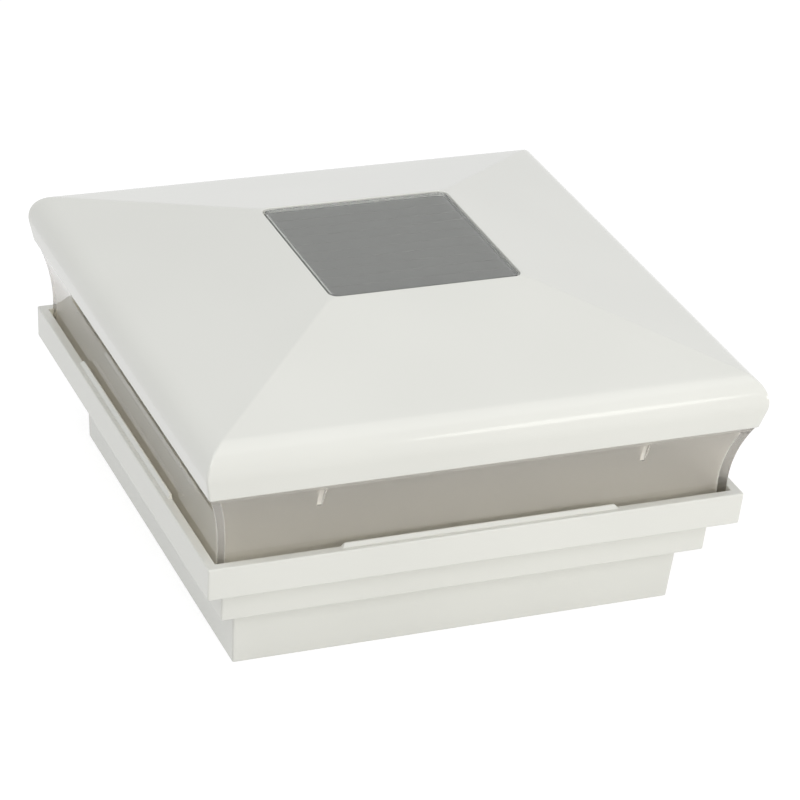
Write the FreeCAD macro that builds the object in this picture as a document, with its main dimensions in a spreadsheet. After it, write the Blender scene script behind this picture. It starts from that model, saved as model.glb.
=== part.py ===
"""Solar deck post cap light for a 6x6 post, in millimetres.

The frame: +Z up, origin at the middle of the skirt's lower edge, X along the front face.
A stepped white base drops over the post. A clear coved lens ring stands in the base's rim and
carries a hipped roof with a bullnose eave. A tray under the roof holds the cells, the circuit
board, the lamps and the switch. Roof, lens ring and tray lift off the base as one.
"""
import FreeCAD, Part
import math
import os
import re

import Sketcher

Vector = FreeCAD.Vector
document = FreeCAD.newDocument("post_cap_light")

# Driving sizes: name, value in millimetres or degrees.
SIZES = [
    # base housing
    ("post_width", 139.7), ("post_gap", 0.95), ("base_wall", 2.4),
    ("skirt_height", 20.25), ("skirt_draft", 1.1),
    ("step_ledge", 6.0), ("step_height", 12.55), ("step_draft", 0.5),
    ("rim_ledge", 6.8), ("rim_height", 10.85), ("rim_draft", 0.4), ("rim_wall", 3.1),
    ("lip_length", 91.0), ("lip_height", 1.15), ("lip_width", 1.4), ("lip_crest", 0.5),
    ("corner_radius", 0.5),
    ("post_screw_spacing", 100.0), ("post_screw_hole", 4.8),
    ("post_boss_width", 11.0), ("post_boss_height", 2.0),
    ("guide_rib_thick", 1.8), ("guide_rib_spacing", 46.0),
    ("fence_gap", 0.5), ("fence_thick", 1.6), ("fence_length", 14.0), ("fence_height", 4.0),
    # lens ring
    ("lens_gap", 1.0), ("lens_wall", 2.6), ("cove_start", 2.15), ("cove_radius", 52.0),
    ("glow_height", 23.75), ("shadow_gap", 0.2), ("lens_rebate", 1.5), ("tongue_gap", 0.25),
    ("tongue_thick", 2.0), ("flange_rise", 3.6), ("flange_thick", 2.2), ("flange_width", 5.75),
    ("tab_place", 52.8), ("tab_width", 2.8), ("tab_tip_width", 1.6),
    ("tab_length", 10.1), ("tab_stand", 2.4), ("tab_root", 0.25),
    # roof shell
    ("roof_wall", 2.4), ("lip_overhang", 0.7), ("eave_edge_radius", 0.8),
    ("eave_taper", 13.0), ("eave_radius", 9.5), ("eave_rise", 8.6), ("roof_slope", 15.0),
    ("window_half", 32.0), ("window_corner", 3.0), ("panel_sink", 0.4),
    ("ledge_width", 5.0), ("ledge_thick", 2.0),
    ("eave_rib_thick", 1.6), ("eave_rib_pitch", 30.0), ("eave_rib_width", 7.0),
    ("boss_width", 7.0), ("boss_inset", 7.0), ("boss_skin", 0.5),
    # solar panel
    ("panel_gap", 0.6), ("window_thick", 2.0), ("solar_cell_thick", 0.4),
    ("solar_cell_margin", 1.5), ("solar_cell_pitch", 5.97), ("solar_cell_kerf", 0.2),
    ("backing_thick", 1.6), ("sealant_thick", 0.4), ("sealant_width", 3.4),
    # lamp tray
    ("tray_gap", 2.75), ("tray_thick", 2.4), ("tray_corner", 2.0),
    ("tray_screw_shank", 3.0), ("tray_screw_grip", 8.0), ("screw_slack", 0.05),
    ("tray_screw_head", 6.0), ("tray_screw_head_thick", 2.0),
    ("bay_wall", 1.8), ("bay_side_gap", 0.65), ("cell_spacing_gap", 0.7), ("bay_gap", 3.7),
    ("bay_ceiling_gap", 0.5), ("bay_ceiling", 1.6), ("cell_lift", 0.6),
    ("standoff_height", 5.2), ("standoff_width", 6.0), ("standoff_inset", 3.5),
    ("door_boss_width", 6.4), ("door_boss_height", 7.2),
    # battery cells and contacts
    ("cell_width", 14.5), ("cell_can_length", 49.2), ("cell_button_width", 5.5),
    ("cell_button_length", 1.3), ("cell_shoulder", 0.8),
    ("contact_thick", 0.4), ("contact_width", 12.0), ("contact_height", 12.0),
    ("dimple_width", 4.0), ("dimple_height", 1.0), ("tab_strip_width", 4.0), ("tab_strip_rise", 2.4),
    ("slot_slack", 0.2), ("leaf_rise", 5.5), ("leaf_half_span", 5.7), ("leaf_thick", 0.4),
    ("leaf_width", 6.0), ("leaf_gap", 0.2),
    # circuit board
    ("board_half", 24.0), ("board_thick", 1.6), ("board_corner", 2.0),
    ("board_screw_shank", 2.4), ("board_screw_head", 5.0),
    ("board_screw_head_thick", 1.8), ("board_screw_length", 6.4),
    ("led_place", 15.0), ("led_width", 5.0), ("led_flange_width", 5.8), ("led_flange_thick", 1.0),
    ("led_length", 8.6), ("led_standoff", 1.0), ("led_leg", 0.5), ("led_leg_pitch", 2.54),
    ("led_slack", 0.25), ("leg_hole", 0.74), ("leg_tail", 0.6),
    # slide switch
    ("switch_place", 19.0), ("switch_length", 12.6), ("switch_width", 6.0), ("switch_depth", 4.2),
    ("switch_wall", 0.8), ("switch_travel", 3.0), ("knob_length", 3.0), ("knob_width", 3.0),
    ("knob_base_length", 7.0), ("knob_slack", 0.05), ("knob_stand", 1.5), ("knob_slot_slack", 0.6),
    ("pin_pitch", 2.5), ("pin_width", 0.6), ("pin_hole", 0.88),
    # battery door
    ("door_length", 80.0), ("door_thick", 2.2), ("door_corner", 4.0), ("door_rim", 1.6),
    ("door_margin", 2.6), ("gasket_thick", 1.0), ("gasket_width", 2.0), ("gasket_gap", 0.6),
    ("door_screw_inset", 5.0), ("door_screw_shank", 2.6), ("door_screw_head", 5.4),
    ("door_screw_head_thick", 1.4), ("door_screw_length", 9.0),
    # leads
    ("lead_width", 1.2),
]

# Worked-out sizes: name, formula of the sizes above and of the lines before.
WORKED = [
    ("skirt_bore", "post_width / 2 + post_gap"),
    ("skirt_top_half", "skirt_bore + base_wall + skirt_draft"),
    ("step_low_half", "skirt_top_half + step_ledge"),
    ("step_top_half", "step_low_half + step_draft"),
    ("rim_low_half", "step_top_half + rim_ledge"),
    ("rim_half", "rim_low_half + rim_draft"),
    ("rim_bore", "rim_half - rim_wall"),
    ("rim_z", "skirt_height + step_height"),
    ("deck_top", "rim_z + base_wall"),
    ("rim_top", "rim_z + rim_height"),
    ("lens_half", "rim_bore - lens_gap"),
    ("lens_bore", "lens_half - lens_wall"),
    ("cove_z", "rim_top + cove_start"),
    ("eave_low", "rim_top + glow_height"),
    ("shoulder_z", "eave_low - shadow_gap"),
    ("lens_top_half", "lens_half + cove_radius - sqrt(cove_radius^2 - (shoulder_z - cove_z)^2)"),
    ("roof_bore", "lens_top_half - lens_rebate"),
    ("tongue_half", "roof_bore - tongue_gap"),
    ("neck_half", "tongue_half - tongue_thick"),
    ("inner_cove_radius", "cove_radius + lens_wall"),
    ("neck_z", "cove_z + sqrt(inner_cove_radius^2 - (lens_half + cove_radius - neck_half)^2)"),
    ("flange_top", "eave_low + flange_rise"),
    ("flange_low", "flange_top - flange_thick"),
    ("flange_bore", "neck_half - flange_width"),
    ("eave_low_half", "lens_top_half + lip_overhang"),
    ("eave_edge_run", "eave_edge_radius / tan((90 + eave_taper) / 2)"),
    ("eave_z", "eave_low + eave_rise"),
    ("eave_side_run", "(eave_rise - eave_radius * sin(eave_taper)) * tan(eave_taper)"),
    ("eave_x", "eave_low_half + eave_side_run - eave_radius * cos(eave_taper)"),
    ("slope_x", "eave_x + eave_radius * sin(roof_slope)"),
    ("slope_z", "eave_z + eave_radius * cos(roof_slope)"),
    ("window_z", "slope_z + (slope_x - window_half) * tan(roof_slope)"),
    ("inner_radius", "eave_radius - roof_wall"),
    ("inner_slope_x", "eave_x + inner_radius * sin(roof_slope)"),
    ("inner_slope_z", "eave_z + inner_radius * cos(roof_slope)"),
    ("bore_top_z", "eave_z + sqrt(inner_radius^2 - (roof_bore - eave_x)^2)"),
    ("pan_half", "window_half + roof_wall"),
    ("pan_z", "inner_slope_z + (inner_slope_x - pan_half) * tan(roof_slope)"),
    ("middle_radius", "eave_radius - roof_wall / 2"),
    ("middle_slope_x", "eave_x + middle_radius * sin(roof_slope)"),
    ("middle_slope_z", "eave_z + middle_radius * cos(roof_slope)"),
    ("rib_x", "roof_bore - eave_rib_width"),
    ("panel_half", "window_half - panel_gap"),
    ("window_low", "window_z - panel_sink - window_thick"),
    ("solar_cell_low", "window_low - solar_cell_thick"),
    ("backing_low", "solar_cell_low - backing_thick"),
    ("ledge_top", "backing_low - sealant_thick"),
    ("ledge_low", "ledge_top - ledge_thick"),
    ("boss_at", "flange_bore - boss_inset"),
    ("boss_far", "boss_at + boss_width / 2"),
    ("boss_top", "window_z - (boss_far - window_half) * tan(roof_slope) - boss_skin"),
    ("tray_half", "neck_half - tray_gap"),
    ("tray_top", "flange_low"),
    ("tray_low", "tray_top - tray_thick"),
    ("bay_width", "2 * cell_width + cell_spacing_gap + 2 * bay_side_gap"),
    ("bay_y", "board_half + bay_gap + bay_wall + bay_width / 2"),
    ("cell_offset", "(cell_width + cell_spacing_gap) / 2"),
    ("cell_z", "tray_low + cell_lift + cell_width / 2"),
    ("cell_length", "cell_can_length + cell_button_length"),
    ("bay_length", "cell_length + dimple_height + 2 * contact_thick + leaf_rise + leaf_gap"),
    ("bay_half", "bay_length / 2"),
    ("bay_ceiling_z", "cell_z + cell_width / 2 + bay_ceiling_gap"),
    ("bay_top", "bay_ceiling_z + bay_ceiling"),
    ("contact_face", "bay_half - contact_thick"),
    ("button_tip", "contact_face - dimple_height"),
    ("can_front", "button_tip - cell_button_length"),
    ("can_back", "can_front - cell_can_length"),
    ("leaf_radius", "(leaf_half_span^2 + leaf_rise^2) / (2 * leaf_rise)"),
    ("leaf_inner_radius", "leaf_radius - leaf_thick"),
    ("leaf_inner_half_span", "sqrt(leaf_inner_radius^2 - (leaf_radius - leaf_rise)^2)"),
    ("standoff_place", "board_half - standoff_inset"),
    ("board_low", "tray_top + standoff_height"),
    ("board_top", "board_low + board_thick"),
    ("led_top", "board_low - led_standoff"),
    ("led_tip", "led_top - led_length"),
    ("switch_low", "board_low - switch_depth"),
    ("knob_rest", "-switch_travel / 2"),
    ("pin_place", "switch_place - switch_width / 2 + switch_wall / 2"),
    ("door_half", "door_length / 2"),
    ("door_half_width", "bay_width / 2 + bay_wall + door_margin"),
    ("door_top", "tray_low - gasket_thick"),
    ("door_low", "door_top - door_thick"),
    ("door_screw_at", "door_half - door_screw_inset"),
    ("lead_z", "bay_top + 1.4"),
]

QUARTER_TURNS = range(4)


# ---------------------------------------------------------------- sheets and formulas

def make_sheets():
    """Write the driving sizes as plain numbers and the worked-out ones as formulas."""
    for sheet_name, rows in (("Sizes", SIZES), ("Worked", WORKED)):
        sheet = document.addObject("Spreadsheet::Sheet", sheet_name)
        for row, (name, value) in enumerate(rows, start=1):
            text = str(value) if sheet_name == "Sizes" else "=" + bound(value)
            sheet.set("A%d" % row, name)
            sheet.set("B%d" % row, text)
            sheet.setAlias("B%d" % row, name)
    document.recompute()


HOME = {name: "Sizes." for name, _ in SIZES}
HOME.update({name: "Worked." for name, _ in WORKED})


def bound(formula):
    """The formula with each size's name led by the sheet that holds it."""
    return re.sub(r"[a-z]\w*", lambda word: HOME.get(word.group(), "") + word.group(), formula)


def size(formula):
    """The value of a formula of sizes."""
    return float(document.getObject("Sizes").evalExpression(bound(formula)))


# ---------------------------------------------------------------- sketches

def new_body(label):
    """A body for one sub-part."""
    body = document.addObject("PartDesign::Body", label)
    body.Label = label
    body.AllowCompound = True
    return body


def sketch(body, role, name, origin=("0", "0", "0")):
    """A sketch on one of the body's origin planes, its own origin moved by three formulas."""
    flat = body.newObject("Sketcher::SketchObject", name)
    plane = next(item for item in body.Origin.OriginFeatures if item.Role == role)
    flat.AttachmentSupport = [(plane, "")]
    flat.MapMode = "FlatFace"
    for axis, formula in zip("xyz", origin):
        flat.setExpression("AttachmentOffset.Base." + axis, bound(formula))
    return flat


def level(body, name, height):
    """A sketch that lies flat at a height."""
    return sketch(body, "XY_Plane", name, ("0", "0", height))


def tie(flat, kind, *place_and_formula):
    """Add a driving size to a sketch and bind it to its formula."""
    *place, formula = place_and_formula
    index = flat.addConstraint(Sketcher.Constraint(kind, *place, size(formula)))
    flat.setExpression("Constraints[%d]" % index, bound(formula))


def tie_point(flat, edge, end, x, y):
    """Place an edge's end by two formulas, counted from the sketch's origin."""
    tie(flat, "DistanceX", -1, 1, edge, end, x)
    tie(flat, "DistanceY", -1, 1, edge, end, y)


def arc_between(start, end, radius):
    """The arc under a half circle from start to end, counter-clockwise for a positive radius."""
    chord = end - start
    rise = math.sqrt(radius ** 2 - (chord.Length / 2) ** 2)
    left = Vector(-chord.y, chord.x, 0).normalize()
    centre = (start + end) * 0.5 + left * rise * (1 if radius > 0 else -1)
    first, last = (start, end) if radius > 0 else (end, start)
    angles = [math.atan2(point.y - centre.y, point.x - centre.x) for point in (first, last)]
    return Part.ArcOfCircle(Part.Circle(centre, Vector(0, 0, 1), abs(radius)), *angles)


def outline(flat, corners):
    """A closed outline. Each corner is two formulas; a third is the radius of the arc that
    leaves it, led by a minus sign where the arc runs clockwise."""
    points = [Vector(size(corner[0]), size(corner[1]), 0) for corner in corners]
    heads, tails = [], []
    for index, corner in enumerate(corners):
        start, end = points[index], points[(index + 1) % len(points)]
        turned = False
        if len(corner) == 3:
            radius = size(corner[2])
            turned = radius < 0
            edge = flat.addGeometry(arc_between(start, end, radius), False)
            tie(flat, "Radius", edge, corner[2].lstrip("-"))
        else:
            edge = flat.addGeometry(Part.LineSegment(start, end), False)
        heads.append((edge, 2 if turned else 1))
        tails.append((edge, 1 if turned else 2))
    for index, corner in enumerate(corners):
        flat.addConstraint(Sketcher.Constraint("Coincident", *tails[index - 1], *heads[index]))
        tie_point(flat, *heads[index], corner[0], corner[1])


def rectangle(flat, middle, half):
    """A rectangle from the formulas of its middle and of its two half lengths."""
    (x, y), (a, b) = middle, half
    ends = [(-1, -1), (1, -1), (1, 1), (-1, 1)]
    outline(flat, [("%s + %d * (%s)" % (x, i, a), "%s + %d * (%s)" % (y, j, b)) for i, j in ends])


def circle(flat, x, y, width):
    """A circle from the formulas of its middle and of its width."""
    centre = Vector(size(x), size(y), 0)
    edge = flat.addGeometry(Part.Circle(centre, Vector(0, 0, 1), size(width) / 2), False)
    tie(flat, "Diameter", edge, width)
    tie_point(flat, edge, 3, x, y)


def quarter(x, y, turn):
    """The formulas of a point turned by a number of quarter turns about the middle."""
    return [(x, y), ("-(%s)" % y, x), ("-(%s)" % x, "-(%s)" % y), (y, "-(%s)" % x)][turn]


def square_path(body, half):
    """A square path that starts at the middle of its right side, for a mitred sweep."""
    path = sketch(body, "XY_Plane", body.Label + "_path")
    outline(path, [(half, "0"), (half, half), ("-" + half, half),
                   ("-" + half, "-" + half), (half, "-" + half)])
    return path


# ---------------------------------------------------------------- features

def finish(body, feature):
    """Recompute and take the feature as the body's tip."""
    body.Tip = feature
    document.recompute()
    return feature


def pad(body, flat, name, length, symmetric=False, down=False):
    """Raise a sketch by a formula's length."""
    feature = body.newObject("PartDesign::Pad", name)
    feature.Profile = flat
    feature.setExpression("Length", bound(length))
    feature.SideType = "Symmetric" if symmetric else "One side"
    feature.Reversed = down
    return finish(body, feature)


def pocket(body, flat, name, length, up=False, symmetric=False):
    """Cut a sketch by a formula's length, downwards or up, and see that it cuts."""
    before = body.Shape.Volume
    feature = body.newObject("PartDesign::Pocket", name)
    feature.Profile = flat
    feature.setExpression("Length", bound(length))
    feature.SideType = "Symmetric" if symmetric else "One side"
    feature.Reversed = up
    finish(body, feature)
    if body.Shape.Volume >= before:
        raise RuntimeError(name + " cuts nothing")
    return feature


def mitred_sweep(body, section, half):
    """Carry a section round a square, with mitred corners."""
    feature = body.newObject("PartDesign::AdditivePipe", body.Label + "_sweep")
    path = square_path(body, half)
    feature.Profile = section
    feature.Spine = (path, ["Edge%d" % edge for edge in range(1, path.GeometryCount + 1)])
    feature.Transition = "Right corner"
    return finish(body, feature)


def revolve(body, flat, name, axis="V_Axis"):
    """Turn a sketch once about its own upright or level axis."""
    feature = body.newObject("PartDesign::Revolution", name)
    feature.Profile = flat
    feature.ReferenceAxis = (flat, [axis])
    feature.Angle = 360
    return finish(body, feature)


def four_sides(body, features):
    """Repeat features by quarter turns about Z."""
    pattern = body.newObject("PartDesign::PolarPattern", body.Label + "_four_sides")
    pattern.Originals = features
    axis = next(item for item in body.Origin.OriginFeatures if item.Role == "Z_Axis")
    pattern.Axis = (axis, [""])
    pattern.Angle = 360
    pattern.Occurrences = 4
    return finish(body, pattern)


def round_edges(body, name, radius, wanted):
    """Round the edges of the body's shape that a test picks."""
    edges = ["Edge%d" % number for number, edge in enumerate(body.Shape.Edges, start=1)
             if wanted(edge)]
    if not edges:
        raise RuntimeError(name + " finds no edge")
    rounded = body.Tip
    feature = body.newObject("PartDesign::Fillet", name)
    feature.Base = (rounded, edges)
    feature.setExpression("Radius", bound(radius))
    return finish(body, feature)


def upright_at(half_x, half_y):
    """A test for upright edges at a distance from the middle planes."""
    x, y = size(half_x), size(half_y)

    def wanted(edge):
        ends = [vertex.Point for vertex in edge.Vertexes]
        return len(ends) == 2 and abs(ends[0].z - ends[1].z) > 0.1 and all(
            abs(abs(end.x) - x) < 1e-3 and abs(abs(end.y) - y) < 1e-3 for end in ends)
    return wanted


def upright_box(body, name, middle, half, low, high):
    """Add a block between two heights."""
    flat = level(body, name + "_plan", low)
    rectangle(flat, middle, half)
    return pad(body, flat, name, "%s - (%s)" % (high, low))


# ---------------------------------------------------------------- base

def base_housing():
    """Skirt, two steps, rim tray and deck plate in one moulding."""
    body = new_body("base_housing")
    section = sketch(body, "XZ_Plane", "base_section")
    deck_lap = "step_top_half - 2 * base_wall"
    outline(section, [
        ("skirt_bore", "0"), ("skirt_bore + base_wall", "0"),
        ("skirt_top_half", "skirt_height"), ("step_low_half", "skirt_height"),
        ("step_top_half", "rim_z"), ("rim_low_half", "rim_z"),
        ("rim_half", "rim_top"), ("rim_bore", "rim_top"),
        ("rim_bore - rim_draft", "deck_top"), (deck_lap, "deck_top"), (deck_lap, "rim_z"),
        ("step_low_half - base_wall", "rim_z"),
        ("step_low_half - base_wall", "skirt_height + base_wall"),
        ("skirt_bore", "skirt_height + base_wall")])
    mitred_sweep(body, section, "step_low_half")
    upright_box(body, "deck", ("0", "0"), ("step_top_half - base_wall", "step_top_half - base_wall"),
                "rim_z", "deck_top")
    round_edges(body, "corner_rounding", "corner_radius", on_outer_mitre)
    post_guide_ribs(body)
    post_screw_bosses(body)
    lens_fences(body)
    retaining_lips(body)
    return body


def on_outer_mitre(edge):
    """True for the sloping corner edges on the outside of the base's three tiers."""
    tiers = [("skirt_bore + base_wall", "skirt_top_half"), ("step_low_half", "step_top_half"),
             ("rim_low_half", "rim_half")]
    ends = sorted((vertex.Point for vertex in edge.Vertexes), key=lambda point: point.z)
    if len(ends) != 2 or any(abs(abs(end.x) - abs(end.y)) > 1e-3 for end in ends):
        return False
    return any(abs(abs(ends[0].x) - size(low)) < 1e-3 and abs(abs(ends[1].x) - size(high)) < 1e-3
               for low, high in tiers)


def post_guide_ribs(body):
    """Ribs in the step's hollow that keep the post in line with the skirt's bore."""
    plan = level(body, "guide_rib_plan", "skirt_height + base_wall")
    reach, half_thick = "(step_top_half - skirt_bore - base_wall / 2) / 2", "guide_rib_thick / 2"
    for turn in QUARTER_TURNS:
        half = (half_thick, reach) if turn % 2 else (reach, half_thick)
        for place in ("-guide_rib_spacing", "0", "guide_rib_spacing"):
            rectangle(plan, quarter("(skirt_bore + %s)" % reach, place, turn), half)
    pad(body, plan, "guide_ribs", "step_height - base_wall")


def post_screw_bosses(body):
    """Four raised seats on the deck, each with a hole for a screw into the post's end."""
    half = "post_screw_spacing / 2"
    seats = level(body, "seat_plan", "deck_top")
    holes = level(body, "post_hole_plan", "deck_top + post_boss_height")
    for turn in QUARTER_TURNS:
        x, y = quarter(half, half, turn)
        circle(seats, x, y, "post_boss_width")
        circle(holes, x, y, "post_screw_hole")
    pad(body, seats, "seats", "post_boss_height")
    pocket(body, holes, "post_holes", "post_boss_height + base_wall + 1")


def lens_fences(body):
    """Low corner fences on the deck that keep the lens ring in place from inside."""
    outer = "(lens_bore - fence_gap)"
    plan = level(body, "fence_plan", "deck_top")
    inner = outer + " - fence_thick"
    far = outer + " - fence_length"
    corner = [(outer, outer), (far, outer), (far, inner), (inner, inner), (inner, far), (outer, far)]
    outline(plan, corner)
    four_sides(body, [pad(body, plan, "fence", "fence_height")])


def retaining_lips(body):
    """The raised lip at the middle of each side of the rim, with sloped ends and outer face."""
    face = sketch(body, "YZ_Plane", "lip_face", ("0", "0", "rim_bore"))
    foot, top = "rim_top - base_wall / 4", "rim_top + lip_height"
    outline(face, [("-lip_length / 2", foot), ("lip_length / 2", foot),
                   ("lip_length / 2", "rim_top"), ("lip_length / 2 - lip_height", top),
                   ("lip_height - lip_length / 2", top), ("-lip_length / 2", "rim_top")])
    lip = pad(body, face, "lip", "lip_width")
    slope = sketch(body, "XZ_Plane", "lip_slope")
    outline(slope, [("rim_bore + lip_crest", top), ("rim_bore + lip_width", "rim_top + lip_height / 5"),
                    ("rim_bore + 2 * lip_width", "rim_top + lip_height / 5"),
                    ("rim_bore + 2 * lip_width", "rim_top + 2 * lip_height"),
                    ("rim_bore + lip_crest", "rim_top + 2 * lip_height")])
    cut = pocket(body, slope, "lip_slope_cut", "lip_length + 2", symmetric=True)
    four_sides(body, [lip, cut]).Label = "lips_on_four_sides"


# ---------------------------------------------------------------- lens ring

def lens_ring():
    """Clear ring of four coved panes, with a tongue and an inward flange under the roof."""
    body = new_body("lens_ring")
    section = sketch(body, "XZ_Plane", "lens_section")
    outline(section, [
        ("lens_bore", "deck_top"), ("lens_half", "deck_top"),
        ("lens_half", "cove_z", "-cove_radius"), ("lens_top_half", "shoulder_z"),
        ("tongue_half", "shoulder_z"), ("tongue_half", "flange_top"),
        ("flange_bore", "flange_top"), ("flange_bore", "flange_low"),
        ("neck_half", "flange_low"), ("neck_half", "neck_z", "inner_cove_radius"),
        ("lens_bore", "cove_z")])
    mitred_sweep(body, section, "neck_half")
    locating_tabs(body)
    return body


def locating_tabs(body):
    """Two tapered ribs at the top of each pane that centre the tray in the ring."""
    face = sketch(body, "YZ_Plane", "tab_face", ("0", "0", "neck_half - tab_stand"))
    root = "flange_low + flange_thick / 2"
    tip = "flange_low - tab_length"
    for side in ("-", ""):
        place = side + "tab_place"
        outline(face, [(place + " - tab_tip_width / 2", tip), (place + " + tab_tip_width / 2", tip),
                       (place + " + tab_width / 2", root), (place + " - tab_width / 2", root)])
    four_sides(body, [pad(body, face, "tabs", "tab_stand + tab_root")])


# ---------------------------------------------------------------- roof

def roof_shell():
    """Hipped roof with a bullnose eave, a window recess, eave ribs and screw bosses."""
    body = new_body("roof_shell")
    section = sketch(body, "XZ_Plane", "roof_section")
    outline(section, [
        ("roof_bore", "eave_low"),
        ("eave_low_half - eave_edge_run", "eave_low", "eave_edge_radius"),
        ("eave_low_half + eave_edge_run * sin(eave_taper)",
         "eave_low + eave_edge_run * cos(eave_taper)"),
        ("eave_x + eave_radius * cos(eave_taper)", "eave_z - eave_radius * sin(eave_taper)",
         "eave_radius"),
        ("slope_x", "slope_z"), ("window_half", "window_z"),
        ("window_half", "ledge_top"), ("window_half - ledge_width", "ledge_top"),
        ("window_half - ledge_width", "ledge_low"), ("pan_half", "ledge_low"),
        ("pan_half", "pan_z"), ("inner_slope_x", "inner_slope_z", "-inner_radius"),
        ("roof_bore", "bore_top_z")])
    mitred_sweep(body, section, "pan_half")
    round_edges(body, "window_corners", "window_corner", upright_at("window_half", "window_half"))
    eave_ribs(body)
    screw_bosses(body)
    return body


def eave_ribs(body):
    """Ribs inside the eave whose lower ends seat the lens ring's flange."""
    ribs = []
    for number, place in enumerate((-2, -1, 0, 1, 2)):
        origin = ("0", "0", "%d * eave_rib_pitch" % place)
        rib = sketch(body, "XZ_Plane", "eave_rib_%d_side" % number, origin)
        wall = "(eave_x + middle_radius)"
        outline(rib, [
            ("rib_x", "flange_top"), (wall + " - 0.8", "flange_top"), (wall, "eave_z", "middle_radius"),
            ("middle_slope_x", "middle_slope_z"),
            ("rib_x", "middle_slope_z + (middle_slope_x - rib_x) * tan(roof_slope)")])
        ribs.append(pad(body, rib, "eave_rib_%d" % number, "eave_rib_thick", symmetric=True))
    four_sides(body, ribs)


def screw_places():
    """The six tray screws: four corners and the middles of the two sides across X."""
    corners = [quarter("boss_at", "boss_at", turn) for turn in QUARTER_TURNS]
    return corners + [("boss_at", "0"), ("-boss_at", "0")]


def screw_bosses(body):
    """Bosses that hang from the slope down to the tray, each with a blind screw hole."""
    plan = level(body, "boss_plan", "tray_top")
    holes = level(body, "boss_hole_plan", "tray_top")
    for x, y in screw_places():
        circle(plan, x, y, "boss_width")
        circle(holes, x, y, "tray_screw_shank + 2 * screw_slack")
    pad(body, plan, "bosses", "boss_top - tray_top")
    pocket(body, holes, "boss_holes", "tray_screw_grip + 1", up=True)


# ---------------------------------------------------------------- solar panel

def panel_plate(label, low, thick):
    """A square plate of the panel with rounded corners."""
    body = new_body(label)
    upright_box(body, label + "_plate", ("0", "0"), ("panel_half", "panel_half"), low,
                "%s + %s" % (low, thick))
    round_edges(body, label + "_corners", "window_corner - panel_gap",
                upright_at("panel_half", "panel_half"))
    return body


def solar_cells():
    """Cell strips laid side by side across the panel."""
    body = new_body("solar_cells")
    plan = level(body, "cell_strip_plan", "solar_cell_low")
    reach = "(panel_half - solar_cell_margin)"
    count = int(2 * size(reach) // size("solar_cell_pitch"))
    for strip in range(count):
        place = "%.1f * solar_cell_pitch" % (strip - (count - 1) / 2)
        rectangle(plan, ("0", place), (reach, "(solar_cell_pitch - solar_cell_kerf) / 2"))
    pad(body, plan, "cell_strips", "solar_cell_thick")
    return body


def panel_sealant():
    """The bead of sealant between the panel and its ledge."""
    body = new_body("panel_sealant")
    plan = level(body, "sealant_plan", "ledge_top")
    rectangle(plan, ("0", "0"), ("panel_half", "panel_half"))
    inner = "(panel_half - sealant_width)"
    rectangle(plan, ("0", "0"), (inner, inner))
    pad(body, plan, "sealant", "sealant_thick")
    round_edges(body, "sealant_corners", "window_corner - panel_gap",
                upright_at("panel_half", "panel_half"))
    return body


# ---------------------------------------------------------------- lamp tray

def lamp_tray():
    """The plate that closes the roof from below, with the battery bay and the board's standoffs."""
    body = new_body("lamp_tray")
    upright_box(body, "tray_plate", ("0", "0"), ("tray_half", "tray_half"), "tray_low", "tray_top")
    round_edges(body, "tray_corners", "tray_corner", upright_at("tray_half", "tray_half"))
    upright_box(body, "bay_block", ("0", "bay_y"),
                ("bay_half + bay_wall", "bay_width / 2 + bay_wall"), "tray_top", "bay_top")
    bay = level(body, "bay_plan", "tray_low")
    rectangle(bay, ("0", "bay_y"), ("bay_half", "bay_width / 2"))
    pocket(body, bay, "bay", "bay_ceiling_z - tray_low", up=True)
    contact_slots(body)
    standoffs(body)
    door_bosses(body)
    tray_openings(body)
    return body


def contact_slots(body):
    """Slots in the bay's ceiling for the solder tabs of the two terminal plates."""
    slots = level(body, "contact_slot_plan", "bay_top")
    for side in ("-", "+"):
        middle = ("contact_face + contact_thick / 2", "bay_y %s cell_offset" % side)
        rectangle(slots, middle, ("contact_thick / 2 + slot_slack", "tab_strip_width / 2 + slot_slack"))
    pocket(body, slots, "contact_slots", "bay_ceiling")


def standoffs(body):
    """Four posts that carry the circuit board."""
    plan = level(body, "standoff_plan", "tray_top")
    holes = level(body, "standoff_hole_plan", "board_low")
    for turn in QUARTER_TURNS:
        x, y = quarter("standoff_place", "standoff_place", turn)
        circle(plan, x, y, "standoff_width")
        circle(holes, x, y, "board_screw_shank + 2 * screw_slack")
    pad(body, plan, "standoff_posts", "standoff_height")
    pocket(body, holes, "standoff_holes", "standoff_height")


def door_bosses(body):
    """Two posts that take the battery door's screws."""
    plan = level(body, "door_boss_plan", "tray_top")
    holes = level(body, "door_hole_plan", "tray_low")
    for x in ("door_screw_at", "-door_screw_at"):
        circle(plan, x, "bay_y", "door_boss_width")
        circle(holes, x, "bay_y", "door_screw_shank + 2 * screw_slack")
    pad(body, plan, "door_bosses", "door_boss_height")
    pocket(body, holes, "door_holes", "door_boss_height + tray_thick - 1", up=True)


def tray_openings(body):
    """Holes for the tray screws and the lamps, and the slot for the switch knob."""
    plan = level(body, "opening_plan", "tray_top")
    for x, y in screw_places():
        circle(plan, x, y, "tray_screw_shank + 0.4")
    for turn in QUARTER_TURNS:
        x, y = quarter("led_place", "led_place", turn)
        circle(plan, x, y, "led_width + 2 * led_slack")
    rectangle(plan, ("0", "-switch_place"),
              ("(switch_travel + knob_length) / 2 + knob_slot_slack",
               "knob_width / 2 + knob_slot_slack"))
    pocket(body, plan, "openings", "tray_thick")


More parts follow.
